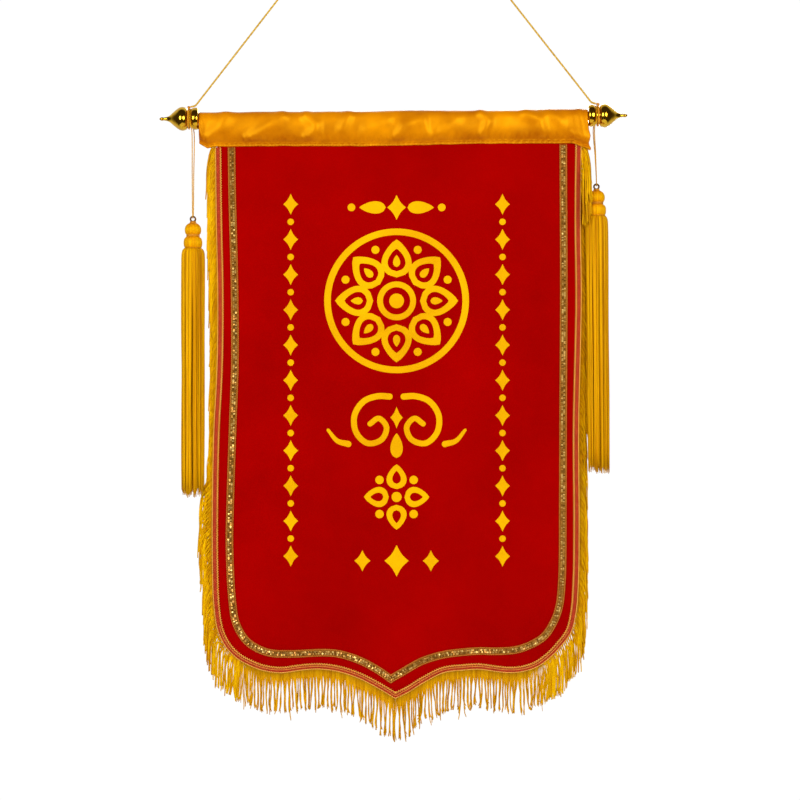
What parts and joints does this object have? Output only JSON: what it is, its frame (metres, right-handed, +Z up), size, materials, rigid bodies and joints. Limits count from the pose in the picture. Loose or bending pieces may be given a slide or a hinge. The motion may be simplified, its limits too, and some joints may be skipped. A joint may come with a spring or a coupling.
{
  "type": "honor banner with its rod and wall peg",
  "caption": "Velvet hanging banner with a shield-shaped foot, satin rod sleeve, sewn braid, fringe and tassels, hung by a cord.",
  "frame": {"origin": "on the wall, at the middle of the wall peg's back face; the whole banner hangs from it", "axes": "+Z up, +Y into the wall, +X to the right of someone facing the banner; the front faces -Y"},
  "size_m": [0.6016, 0.06, 1.1487],
  "materials": {
    "red_velvet": "short pile, soft sheen",
    "gold_satin": "glossy satin",
    "gold_yarn": "shiny rayon yarn",
    "gold_cord": "twisted shiny cord",
    "sequin_braid": "small sparkling sequins",
    "plated_gold": "polished gold plating",
    "dark_brass": "dark polished wire",
    "rod_wood": "plain round rod",
    "painted_peg": "satin paint"
  },
  "bodies": {
    "root": {"wall_peg": "painted_peg", "hanger_cord": "gold_cord", "hanger_loop_left": "gold_cord", "hanger_loop_right": "gold_cord", "finial_left": "plated_gold", "finial_right": "plated_gold", "rod": "rod_wood", "rod_sleeve": "gold_satin", "panel": "red_velvet", "sequin_braid": "sequin_braid", "fringe": "gold_yarn", "tassel_left": "gold_yarn", "tassel_right": "gold_yarn", "tassel_ring_left": "dark_brass", "tassel_ring_right": "dark_brass", "tassel_cord_left": "gold_cord", "tassel_cord_right": "gold_cord"}
  },
  "joints": []
}
